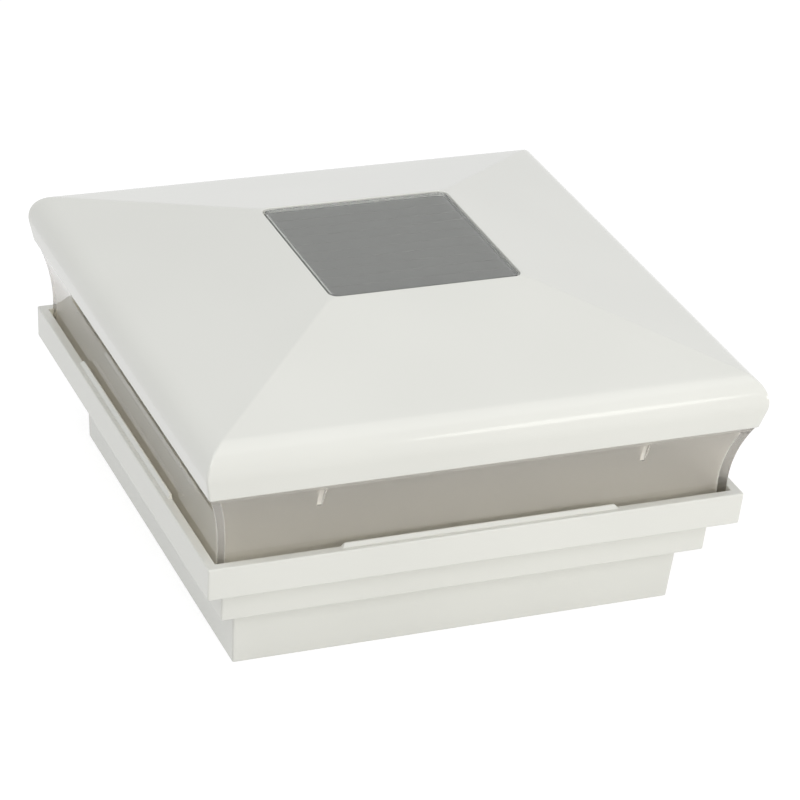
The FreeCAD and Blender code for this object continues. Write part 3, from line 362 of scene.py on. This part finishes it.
# %% Base shell
DECK_LOW, DECK_TOP, RIM_TOP, RIM_BORE = 32.8, 35.2, 43.65, 84.9
base_corners = [(60, DECK_LOW), (77.9, DECK_LOW), (77.9, 22.65), (70.8, 22.65), (70.8, 0.0), (73.2, 0.0),
                (74.3, 20.25), (80.3, 20.25), (80.8, 32.8), (87.6, 32.8), (88.0, RIM_TOP),
                (RIM_BORE, RIM_TOP), (84.5, DECK_TOP), (60, DECK_TOP)]
base_radii = [0, 0.4, 0.4, 0.4, 0.3, 0.4, 0.3, 0.45, 0.3, 0.45, 0.45, 0.3, 0.5, 0]
base_outline = softened(base_corners, base_radii)
base = solid(round_square(base_outline, 0.55))

lip_section = softened([(RIM_BORE, RIM_TOP - 0.3), (86.3, RIM_TOP - 0.3), (86.3, RIM_TOP + 0.23),
                        (85.4, RIM_TOP + 1.15), (RIM_BORE, RIM_TOP + 1.15)], [0, 0, 0.1, 0.2, 0.15], 3, 0.1)
lips = on_four_sides([moved(prism(lip_section, -45.5, 45.5, 0.12, (1.0, RIM_TOP)), SIDE_VIEW)])

POST_SCREWS = [(x, y) for x in (-50, 50) for y in (-50, 50)]
seats = [turned([(2.4, DECK_TOP), (5.5, DECK_TOP), (5.5, DECK_TOP + 1.75), (5.25, DECK_TOP + 2.0),
                 (2.65, DECK_TOP + 2.0), (2.4, DECK_TOP + 1.75)], x, y, 32, True) for x, y in POST_SCREWS]
post_holes = [turned([(2.4, DECK_LOW - 1), (2.4, DECK_TOP + 1)], x, y, 32) for x, y in POST_SCREWS]

fence_plan = [(80.8, 80.8), (66.8, 80.8), (66.8, 79.2), (79.2, 79.2), (79.2, 66.8), (80.8, 66.8)]
fences = on_four_sides([prism(fence_plan, DECK_TOP - 0.3, DECK_TOP + 4.0, 0.2)])
guide_ribs = on_four_sides([prism([(70.8, y - 0.9), (79.4, y - 0.9), (79.4, y + 0.9), (70.8, y + 0.9)],
                                  22.8, 32.9, 0.2) for y in (-46, 0, 46)])

base_piece = piece("base", [base], "base", ["base_housing"], cut=post_holes,
                   beside=lips + seats + fences + guide_ribs)

# %% [markdown]
# ## The lens ring
#
# Four clear coved panes in one moulding. The cove is an arc of 52 mm radius that starts just above
# the rim and flares out to the roof's eave, and the inner face is an arc about the same centre, so the
# wall is an even 2.6 mm. Clear plastic shows every inner face, so here the small tapered tabs at the
# top are joined to the wall exactly, where a solid that only dips into it would show a false seam.

# %% Lens ring
COVE_AT, COVE_R, LENS_WALL = np.array([135.9, 45.8]), 52.0, 2.6
outer_top = 180 - math.degrees(math.asin((EAVE_LOW - 0.2 - COVE_AT[1]) / COVE_R))
inner_top = 180 - math.degrees(math.acos((COVE_AT[0] - 84.76) / (COVE_R + LENS_WALL)))
outer_cove = arc(COVE_AT, COVE_R, 180, outer_top, 16)
inner_cove = arc(COVE_AT, COVE_R + LENS_WALL, inner_top, 180, 14)
lens_corners = np.concatenate([[(81.3, DECK_TOP), (83.9, DECK_TOP)], outer_cove,
                               [(86.76, 67.2), (86.76, 71.0), (79.01, 71.0), (79.01, 68.8), (84.76, 68.8)],
                               inner_cove])
lens_radii = np.array([{0: 0.3, 1: 0.3, 18: 0.15, 19: 0.15, 20: 0.3, 21: 0.3, 22: 0.3, 23: 0.4}.get(i, 0.0)
                       for i in range(len(lens_corners))])
lens = solid(round_square(softened(lens_corners, lens_radii), 0.5), closed_rows=True)
tab_faces = [[(y - 0.8, 58.7), (y + 0.8, 58.7), (y + 1.4, 69.9), (y - 1.4, 69.9)] for y in (-52.8, 52.8)]
tabs = on_four_sides([moved(prism(face, 82.36, 85.01, 0.25), FRONT_VIEW) for face in tab_faces])
lens_piece = piece("lens", [lens], "cap", ["lens_ring"], add=tabs)

# %% [markdown]
# ## The panel's cover
#
# A thick clear plate lies in the roof's recess, almost level with its edge, and holds the cell
# strips down. A plane would do for its top, but only a true plate bends the view of the strips
# below it, which is why they look nearer than they are. Its edges are ground to a small rounding.

# %% Panel cover
cover_low, cover_high = (round(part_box("solar_window")[end][2] / MM, 3) for end in (0, 1))
cover_outline = softened([(20, cover_low), (31.4, cover_low), (31.4, cover_high), (20, cover_high)],
                         [0, 0.1, 0.12, 0], 2, 0.2)
cover = solid(round_square(cover_outline, 2.4, steps=8))
cover_piece = piece("panel_cover", [cover], "cap", ["solar_window"])

# %% [markdown]
# ## A hand for materials
#
# A material is a small graph of nodes. One function adds a node with its settings and links, and one
# turns the sRGB hex colours that a paint chart or a photo gives into the linear numbers that light
# adds up in.

# %% Node and colour helpers
def colour(code):
    """sRGB hex to linear: c / 12.92 below 0.04045, else ((c + 0.055) / 1.055) to the power 2.4."""
    channels = [int(code[i:i + 2], 16) / 255 for i in (1, 3, 5)]
    return [c / 12.92 if c <= 0.04045 else ((c + 0.055) / 1.055) ** 2.4 for c in channels] + [1.0]


def node(tree, kind, inputs=None, **settings):
    """Add a node. `inputs` gives each socket, by name or number, a value or another node's output."""
    made = tree.nodes.new("ShaderNode" + kind)
    for name, value in settings.items():
        setattr(made, name, value)
    for name, value in (inputs or {}).items():
        if isinstance(value, bpy.types.NodeSocket):
            tree.links.new(value, made.inputs[name])
        else:
            made.inputs[name].default_value = value
    return made


def material(name):
    """An empty node material, its tree and its output node."""
    made = bpy.data.materials.new(name)
    made.use_nodes = True
    made.node_tree.nodes.clear()
    return made, made.node_tree, node(made.node_tree, "OutputMaterial")


def grain(tree, size_mm, detail=2.0, rough=0.5):
    """A noise whose bumps are about size_mm apart, read in Object coordinates: its scale is 1000 / size."""
    place = node(tree, "TexCoord").outputs["Object"]
    return node(tree, "TexNoise", {"Vector": place, "Scale": 1000 / size_mm, "Detail": detail,
                                   "Roughness": rough}).outputs["Fac"]


def between(tree, fac, low, high):
    """A number that goes from low to high as fac goes from 0.25 to 0.75, the usual spread of a noise."""
    return node(tree, "MapRange", {"Value": fac, "From Min": 0.25, "From Max": 0.75, "To Min": low,
                                   "To Max": high}, interpolation_type="SMOOTHSTEP").outputs["Result"]


def shades(tree, fac, low, high):
    """A colour from one hex shade to another, in step with fac."""
    spread = between(tree, fac, 0.0, 1.0)
    return node(tree, "Mix", {0: spread, 6: colour(low), 7: colour(high)}, data_type="RGBA").outputs[2]


def bump(tree, height, depth_mm, strength=1.0):
    """A bump whose full height is depth_mm."""
    return node(tree, "Bump", {"Height": height, "Distance": depth_mm * MM, "Strength": strength}).outputs["Normal"]


print("light grey #E1E2DD is", [round(c, 3) for c in colour("#E1E2DD")[:3]])

# %% [markdown]
# ## White polycarbonate, injection moulded
#
# The shells are a UV-stable white polycarbonate from a tool with a fine polish. The eye sees a warm,
# slightly grey white, a soft but clear highlight along the bullnose, and very shallow waves where the
# melt cooled. The finest skin is under a tenth of a millimetre and can't show at this size, so its
# grain is drawn at 0.9 mm and very shallow.

# %% White polycarbonate
FLOW_GAP, SKIN_GAP = 40, 0.9  # mm


def white_polycarbonate():
    """Two whites and two shades of gloss in slow patches, with shallow waves and a fine skin."""
    made, tree, out = material("white_polycarbonate_moulded")
    flow, skin = grain(tree, FLOW_GAP, 0), grain(tree, SKIN_GAP, 0)
    waves = bump(tree, flow, 0.03)
    relief = node(tree, "Bump", {"Height": skin, "Distance": 0.002 * MM, "Strength": 0.6, "Normal": waves})
    shader = node(tree, "BsdfPrincipled", {
        "Base Color": shades(tree, flow, "#E1E2DC", "#E3E4DE"),
        "Roughness": between(tree, flow, 0.09, 0.11),
        "IOR": 1.53, "Normal": relief.outputs["Normal"]})
    tree.links.new(shader.outputs[0], out.inputs["Surface"])
    return made


print("white polycarbonate: waves", FLOW_GAP, "mm apart, skin grain", SKIN_GAP, "mm apart")

# %% [markdown]
# ## Clear polycarbonate and the panel's cover
#
# A clear moulding bends what is seen through it and mirrors the room at low angles, and waves of a
# few thousandths of a millimetre are left from its tool. Light from the lamps has to reach the
# chamber behind it: a plain glass shader would cast a solid shadow there, because bent paths are too
# rare to find, so for shadow rays the same surface counts as transparent.

# %% Clear materials
def clear_plastic(name, tint, roughness, ior, through, clear=1.0, wave_mm=0.004):
    """Clear for the share `clear` of the light, and matt in the colour `tint` for the rest of it. Shadow
    rays go through in the colour `through`."""
    made, tree, out = material(name)
    waves = bump(tree, grain(tree, 9, 1), wave_mm)
    glass = node(tree, "BsdfPrincipled", {"Base Color": colour(tint), "Roughness": roughness, "IOR": ior,
                                          "Transmission Weight": clear, "Normal": waves})
    open_to_light = node(tree, "BsdfTransparent", {"Color": colour(through)})
    shadow = node(tree, "LightPath").outputs["Is Shadow Ray"]
    both = node(tree, "MixShader", {0: shadow, 1: glass.outputs[0], 2: open_to_light.outputs[0]})
    tree.links.new(both.outputs[0], out.inputs["Surface"])
    return made


print("at IOR 1.585 a face mirrors", round(((1.585 - 1) / (1.585 + 1)) ** 2, 3), "of the light seen head-on")

# %% [markdown]
# ## Solar cell strips
#
# Each strip is a thin slice of silicon under an antireflection coat, with three printed silver fingers that run along
# it, 1.99 mm apart. Under the cover the eye sees an even mid grey with a ruling so faint that it is nearly lost. The
# fingers are 0.1 mm wide and are drawn at 0.4 mm. Noise could rule the strips too, but a wave texture gives even
# lines: its bands repeat every tau / 20 / scale. The board below is dark, with a pale line drawn round the strips.

# %% Silicon strips
FINGER_GAP = 1.99  # mm


def silicon():
    """Grey silicon, and lighter fingers where the wave is in the top tenth of its height."""
    made, tree, out = material("silicon_strip_printed")
    place = node(tree, "TexCoord").outputs["Object"]
    lines = node(tree, "TexWave", {"Vector": place, "Scale": math.tau / 20 / (FINGER_GAP * MM), "Distortion": 0.0,
                                   "Detail": 0.0},
                 wave_type="BANDS", bands_direction="Y", wave_profile="SIN").outputs["Fac"]
    finger = node(tree, "MapRange", {"Value": lines, "From Min": 0.9, "From Max": 1.0}).outputs["Result"]
    crystal = shades(tree, grain(tree, 6, 3), "#6F706E", "#717270")
    mixed = node(tree, "Mix", {0: finger, 6: crystal, 7: colour("#757674")}, data_type="RGBA").outputs[2]
    shader = node(tree, "BsdfPrincipled", {"Base Color": mixed, "Roughness": 0.45, "IOR": 1.5,
                                           "Normal": bump(tree, lines, 0.004)})
    tree.links.new(shader.outputs[0], out.inputs["Surface"])
    return made


LINE_AT, LINE_HALF = 30.08, 0.2  # mm from the panel's middle, and half of the line's width


def panel_board():
    """Dark laminate, with a line where the larger of |x| and |y| is within LINE_HALF of LINE_AT."""
    made, tree, out = material("epoxy_laminate_dark_pale_line")
    place = node(tree, "SeparateXYZ", {0: node(tree, "TexCoord").outputs["Object"]})
    across, along = (node(tree, "Math", {0: place.outputs[axis]}, operation="ABSOLUTE").outputs[0]
                     for axis in (0, 1))
    far = node(tree, "Math", {0: across, 1: along}, operation="MAXIMUM").outputs[0]
    line = node(tree, "Math", {0: far, 1: LINE_AT * MM, 2: LINE_HALF * MM}, operation="COMPARE").outputs[0]
    board = shades(tree, grain(tree, 0.9, 2), "#3F403F", "#434443")
    # a pale line, 0.4 mm wide, drawn on the dark board round the strips
    printed = node(tree, "Mix", {0: line, 6: board, 7: colour("#C2C3C1")}, data_type="RGBA").outputs[2]
    shader = node(tree, "BsdfPrincipled", {"Base Color": printed, "Roughness": 0.4, "IOR": 1.55,
                                           "Normal": bump(tree, grain(tree, 0.9, 2), 0.004)})
    tree.links.new(shader.outputs[0], out.inputs["Surface"])
    return made


print("fingers", FINGER_GAP, "mm apart, printed line from", round(LINE_AT - LINE_HALF, 2), "to",
      round(LINE_AT + LINE_HALF, 2), "mm")

# %% [markdown]
# ## The small parts inside
#
# The other finishes are seen when the cap is lifted and turned over: laminate, sealant, plated steel,
# nickel, black plastic, sleeves, rubber and the leads' PVC. They share one recipe with their own
# numbers, because each is a plain surface whose two shades, roughness and relief vary in patches.

# %% Plain finishes
def plain(name, low, high, roughness, size_mm, depth_mm, ior=1.5, metal=0.0, subsurface=0.0):
    """Patches about size_mm apart that go between two shades and two roughnesses, depth_mm deep."""
    made, tree, out = material(name)
    patches = grain(tree, size_mm, 3)
    sockets = {"Base Color": shades(tree, patches, low, high), "Metallic": metal,
               "Roughness": between(tree, patches, *roughness), "Normal": bump(tree, patches, depth_mm),
               "Subsurface Weight": subsurface, "Subsurface Scale": 0.5 * MM}
    if not metal:
        sockets["IOR"] = ior
    shader = node(tree, "BsdfPrincipled", sockets)
    tree.links.new(shader.outputs[0], out.inputs["Surface"])
    return made


finishes = {
    "white_plastic": white_polycarbonate(),
    "lens_clear": clear_plastic("polycarbonate_polished_outside", "#FBF9F4", 0.04, 1.585, "#F6F3EC"),
    "window_clear": clear_plastic("glass_tempered_cover", "#F4F6F4", 0.05, 1.52, "#EEEFED", wave_mm=0.0004),
    "cell_grey": silicon(),
    "panel_board": panel_board(),
    # woven glass cloth in green epoxy, pressed: a fine weave under a glossy mask
    "laminate": plain("epoxy_laminate_pressed", "#1D4A2E", "#245637", (0.3, 0.4), 0.9, 0.01, 1.55),
    # silicone bead, cured in air: milky, with a soft sheen
    "sealant": plain("silicone_sealant_cured", "#D0D0CB", "#D8D8D3", (0.4, 0.5), 3, 0.05, 1.41, 0.0, 0.1),
    # zinc-plated steel, turned and tumbled: bright with a slight blue-grey haze
    "screw_steel": plain("steel_zinc_plated", "#B4B6B8", "#C4C5C6", (0.25, 0.38), 1.5, 0.006, metal=1.0),
    # nickel-plated strip, stamped: warmer and smoother than zinc
    "contact_steel": plain("spring_strip_nickel_plated", "#C0BBB0", "#CCC8BE", (0.18, 0.28), 2, 0.004, metal=1.0),
    # black nylon, moulded: deep and satin
    "black_plastic": plain("black_nylon_moulded", "#1A1A1B", "#202021", (0.4, 0.5), 1, 0.01, 1.53),
    # shrunk PVC sleeve round the capacitor's can
    "capacitor_sleeve": plain("pvc_sleeve_shrunk_dark_blue", "#1D2333", "#242B3D", (0.3, 0.38), 2, 0.01, 1.54),
    # lamp bodies of clear epoxy, cast over a yellow phosphor: they look pale straw when off
    "lamp_epoxy": plain("epoxy_cast_straw", "#E6DFB4", "#EDE7C4", (0.08, 0.14), 2, 0.002, 1.52, 0.0, 0.3),
    # plain shrunk sleeve round each cell
    "cell_sleeve": plain("pvc_sleeve_shrunk_green", "#2C6B45", "#33754D", (0.25, 0.33), 4, 0.01, 1.54),
    # foam rubber cord, moulded: black, dull and slightly rough
    "gasket_rubber": plain("epdm_rubber_moulded", "#141414", "#1C1C1C", (0.6, 0.75), 0.8, 0.02, 1.5),
    # PVC covers, drawn over the wire: smooth with a soft shine
    "lead_red": plain("pvc_cover_red", "#A61D18", "#B1241E", (0.32, 0.4), 3, 0.005, 1.54),
    "lead_black": plain("pvc_cover_black", "#151515", "#1B1B1B", (0.32, 0.4), 3, 0.005, 1.54),
}

# %% [markdown]
# ## Give every piece its finish
#
# The frame's pieces already carry a material named for their slot, so each one is swapped for the
# finish of that slot. The new pieces take theirs by the same names.

# %% Assign the finishes
for name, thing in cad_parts.items():
    for holder in thing.material_slots:
        holder.material = finishes[holder.material.name.split(".")[0]]
for made, slot in ((roof_piece, "white_plastic"), (base_piece, "white_plastic"), (lens_piece, "lens_clear"),
                   (cover_piece, "window_clear")):
    made.data.materials.append(finishes[slot])
print("finished:", sorted({h.material.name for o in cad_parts.values() for h in o.material_slots}))

# %% [markdown]
# ## Frost the inside of the lens
#
# The tool of the lens ring is polished outside and blasted inside, so that the lamps light the panes
# evenly and nothing behind them shows. One milky material all through would be simpler, but then the
# corners and tabs would lose their clear, bright edges. So each face gets its finish by where it is
# and where it looks: the wall's inner faces, the flange and the foot are frosted, the tabs' fronts,
# which stand further in than the wall's arc, are matt, and the rest stays clear.

# %% Frosted and matt faces
frosted = clear_plastic("polycarbonate_frosted_inside", "#D8D5CE", 0.5, 1.585, "#F6F3EC", 0.65)
matt = clear_plastic("polycarbonate_matt_tab", "#F2F1EE", 0.4, 1.585, "#F6F3EC", 0.15)
lens_piece.data.materials.append(frosted)
lens_piece.data.materials.append(matt)
FLANGE_FROM, FOOT_TO = 66.0, DECK_TOP + 0.6
count = len(lens_piece.data.polygons)
middles, normals = np.empty(3 * count), np.empty(3 * count)
lens_piece.data.polygons.foreach_get("center", middles)
lens_piece.data.polygons.foreach_get("normal", normals)
middles, normals = middles.reshape(-1, 3) / MM, normals.reshape(-1, 3)
inwards = -(unit(middles[:, :2]) * normals[:, :2]).sum(1)
rise = np.maximum(middles[:, 2] - COVE_AT[1], 0)
wall_half = COVE_AT[0] - np.sqrt(np.maximum((COVE_R + LENS_WALL) ** 2 - rise ** 2, 0))
on_wall = np.abs(middles[:, :2]).max(1) > wall_half - 0.15
looks_in = (inwards > 0.3) & on_wall | (middles[:, 2] > FLANGE_FROM) | (middles[:, 2] < FOOT_TO)
tab_front = (inwards > 0.75) & ~on_wall & (middles[:, 2] < FLANGE_FROM)
lens_piece.data.polygons.foreach_set("material_index", (looks_in + 2 * tab_front).astype(np.int32))
print("frosted faces:", int(looks_in.sum()), "matt faces:", int(tab_front.sum()), "of", count)

# %% [markdown]
# ## Floor, room and light
#
# The photo is a studio shot on pure white. Light on the object stays plain: an even pale room, and
# soft lamps from above, from the left, from the front and from the right. The white behind it isn't
# made by more light. Camera rays, and the mirrored and bent rays that also see the room, meet a room
# of strength 1, and the floor adds just enough white of its own to read as white while the object's
# shadow still darkens it.

# %% Floor and room
bpy.ops.mesh.primitive_plane_add(size=8, location=(0, 0, 0))
floor = bpy.context.object
floor.name = "studio_floor"
paper, tree, out = material("paper_sweep_white")
sight = node(tree, "LightPath")
seen = node(tree, "Math", {0: sight.outputs["Is Camera Ray"], 1: sight.outputs["Is Glossy Ray"]}, operation="MAXIMUM")
seen = node(tree, "Math", {0: seen.outputs[0], 1: sight.outputs["Is Transmission Ray"]}, operation="MAXIMUM")
paper_grain = shades(tree, grain(tree, 40, 2), "#E4E4E2", "#E8E8E6")
lit = node(tree, "BsdfDiffuse", {"Color": paper_grain})
dim = node(tree, "BsdfDiffuse", {"Color": colour("#A0A0A0")})
glow = node(tree, "Emission", {"Color": colour("#FFFFFF"), "Strength": 0.78})
white = node(tree, "AddShader", {0: dim.outputs[0], 1: glow.outputs[0]})
mix = node(tree, "MixShader", {0: seen.outputs[0], 1: lit.outputs[0], 2: white.outputs[0]})
tree.links.new(mix.outputs[0], out.inputs["Surface"])
floor.data.materials.append(paper)

world = bpy.data.worlds.new("studio_room")
bpy.context.scene.world = world
world.use_nodes = True
tree = world.node_tree
tree.nodes.clear()
sight = node(tree, "LightPath")
seen = node(tree, "Math", {0: sight.outputs["Is Camera Ray"], 1: sight.outputs["Is Glossy Ray"]}, operation="MAXIMUM")
seen = node(tree, "Math", {0: seen.outputs[0], 1: sight.outputs["Is Transmission Ray"]}, operation="MAXIMUM")
room = node(tree, "Background", {"Color": colour("#FDFDFF"), "Strength": 0.54})
backdrop = node(tree, "Background", {"Color": colour("#FFFFFF"), "Strength": 1.0})
mix = node(tree, "MixShader", {0: seen.outputs[0], 1: room.outputs[0], 2: backdrop.outputs[0]})
tree.links.new(mix.outputs[0], node(tree, "OutputWorld").inputs["Surface"])
print("the room lights the object at", round(room.inputs["Strength"].default_value, 2))

# %% [markdown]
# ## The lamps
#
# Each lamp gives one part of the photo's tones. The high one lights the slopes, and the left one makes
# the left slope nearly as pale as the front. The front one stands to the camera's side, so that it
# reaches the lens's foot and the rim's top without a mirror image in the eave, and the low right one
# lifts the faces at the right end. The last one is weak and small: its image in the bullnose is the
# thin highlight along the front eave.

# %% Soft lights
def soft_light(name, place, aim, width, height, power, tone):
    """A rectangular lamp at `place` that faces `aim`: its -Z axis runs along the line between them."""
    data = bpy.data.lights.new(name, "AREA")
    data.shape, data.size, data.size_y = "RECTANGLE", width, height
    data.energy, data.color = power, colour(tone)[:3]
    lamp = bpy.data.objects.new(name, data)
    bpy.context.scene.collection.objects.link(lamp)
    back = np.subtract(place, aim)
    back = back / np.linalg.norm(back)
    side = np.cross([0, 0, 1], back)
    side = side / np.linalg.norm(side)
    lamp.matrix_world = Matrix(np.vstack([np.column_stack([side, np.cross(back, side), back, place]),
                                          [0, 0, 0, 1]]).tolist())
    return lamp


soft_light("high_softbox", (0.30, -0.25, 1.20), (0, 0, 0.05), 0.9, 0.9, 1.7, "#FFFEFB")
soft_light("left_softbox", (-0.80, 0.10, 1.30), (0, 0, 0.05), 0.8, 0.6, 3.6, "#FFFFFF")
soft_light("right_softbox", (0.75, -0.75, 0.12), (0, -0.05, 0.05), 0.4, 0.2, 2.6, "#FFFBF8")
soft_light("front_softbox", (-0.25, -0.85, 0.70), (0, -0.05, 0.05), 0.5, 0.4, 2.3, "#FFFDFB")
highlight = soft_light("highlight_lamp", (0.198, -0.452, 0.207), (0, -0.09, 0.075), 0.15, 0.10, 0.10, "#FFFDF9")
highlight.data.shape = "ELLIPSE"

# %% [markdown]
# ## The camera
#
# The camera's place was found by fitting the corners of the eave, rim and skirt to the photo. It
# looks down by about 28 degrees from the front left with a long lens, and leans by 5 degrees, as the
# photographer's did.

# %% Camera
AZIMUTH, ELEVATION, LEAN = (math.radians(v) for v in (-24.05, 28.15, 4.62))
TARGET, DISTANCE, SHIFT = np.array([0, 0, 44.0]) * MM, 1077.2 * MM, np.array([7.09, -1.53]) * MM
toward = np.array([math.sin(AZIMUTH) * math.cos(ELEVATION), -math.cos(AZIMUTH) * math.cos(ELEVATION),
                   math.sin(ELEVATION)])
level = unit(np.cross(-toward, [0, 0, 1]))
above = np.cross(level, -toward)
right = math.cos(LEAN) * level + math.sin(LEAN) * above
up = -math.sin(LEAN) * level + math.cos(LEAN) * above
place = TARGET + SHIFT[0] * right + SHIFT[1] * up + DISTANCE * toward
lens_data = bpy.data.cameras.new("camera")
lens_data.lens, lens_data.sensor_width = 150.33, 36.0
camera = bpy.data.objects.new("camera", lens_data)
bpy.context.scene.collection.objects.link(camera)
camera.matrix_world = Matrix(np.vstack([np.column_stack([right, up, toward, place]), [0, 0, 0, 1]]).tolist())
bpy.context.scene.camera = camera
bpy.context.scene.view_settings.view_transform = "Standard"
print("camera at", np.round(place, 3))
